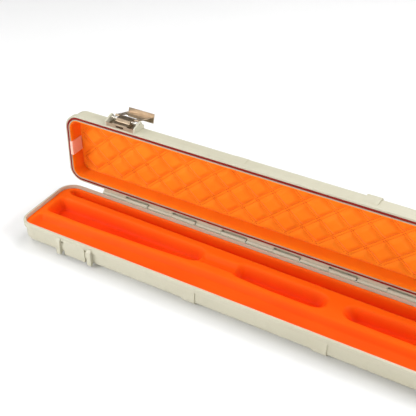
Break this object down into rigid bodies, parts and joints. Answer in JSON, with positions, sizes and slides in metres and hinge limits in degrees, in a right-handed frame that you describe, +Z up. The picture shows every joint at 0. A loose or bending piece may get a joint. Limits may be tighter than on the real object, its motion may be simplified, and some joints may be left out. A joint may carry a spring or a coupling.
{
  "type": "hard cue case",
  "caption": "Long hinged hard case with a moulded cue tray, quilted lid lining, rim seal and two draw latches on the front.",
  "frame": {"origin": "centre of the footprint of the open case, on the surface it stands on", "axes": "+X along the case, +Y towards the hinge, +Z up"},
  "size_m": [0.853, 0.2092, 0.1828],
  "materials": {
    "case_shell": "fine satin moulded plastic",
    "tray_foam": "smooth moulded foam skin",
    "lining": "grained synthetic leather",
    "quilt": "quilted synthetic leather",
    "seal_rubber": "smooth dark red rubber",
    "backing_board": "plain fibreboard",
    "clip_plastic": "smooth moulded plastic",
    "latch_steel": "satin nickel plating",
    "pin_steel": "bright turned steel",
    "rivet_steel": "bright steel"
  },
  "bodies": {
    "base": {"base_shell": "case_shell", "cue_tray": "tray_foam", "keeper_left": "case_shell", "keeper_right": "case_shell", "keeper_rivets": "rivet_steel", "hinge_pin": "pin_steel"},
    "lid": {"lid_shell": "case_shell", "lid_seal": "seal_rubber", "lid_liner": "lining", "quilt_pad": "quilt", "pad_board": "backing_board", "latch_rivets": "rivet_steel", "liner_clip_left": "clip_plastic", "liner_clip_right": "clip_plastic", "latch_bracket_left": "case_shell", "latch_bracket_right": "case_shell", "latch_plate_left": "latch_steel", "latch_plate_right": "latch_steel", "lever_pin_left": "pin_steel", "lever_pin_right": "pin_steel"},
    "lever_left": {"latch_lever_left": "latch_steel", "hook_pin_left": "pin_steel"},
    "lever_right": {"latch_lever_right": "latch_steel", "hook_pin_right": "pin_steel"},
    "hook_left": {"latch_hook_left": "latch_steel"},
    "hook_right": {"latch_hook_right": "latch_steel"}
  },
  "joints": [
    {"name": "lid_hinge", "type": "hinge", "parent": "base", "child": "lid", "pos_m": [0, 0.03615, 0.0373], "axis": [1, 0, 0], "range_deg": [0, 90.8]},
    {"name": "lever_left_hinge", "type": "hinge", "parent": "lid", "child": "lever_left", "pos_m": [-0.3128, 0.05464, 0.17936], "axis": [1, 0, 0], "range_deg": [0, 180]},
    {"name": "lever_right_hinge", "type": "hinge", "parent": "lid", "child": "lever_right", "pos_m": [0.3128, 0.05464, 0.17936], "axis": [1, 0, 0], "range_deg": [0, 180]},
    {"name": "hook_left_hinge", "type": "hinge", "parent": "lever_left", "child": "hook_left", "pos_m": [-0.3128, 0.06313, 0.17924], "axis": [1, 0, 0], "range_deg": [0, 17.4]},
    {"name": "hook_right_hinge", "type": "hinge", "parent": "lever_right", "child": "hook_right", "pos_m": [0.3128, 0.06313, 0.17924], "axis": [1, 0, 0], "range_deg": [0, 17.4]}
  ]
}
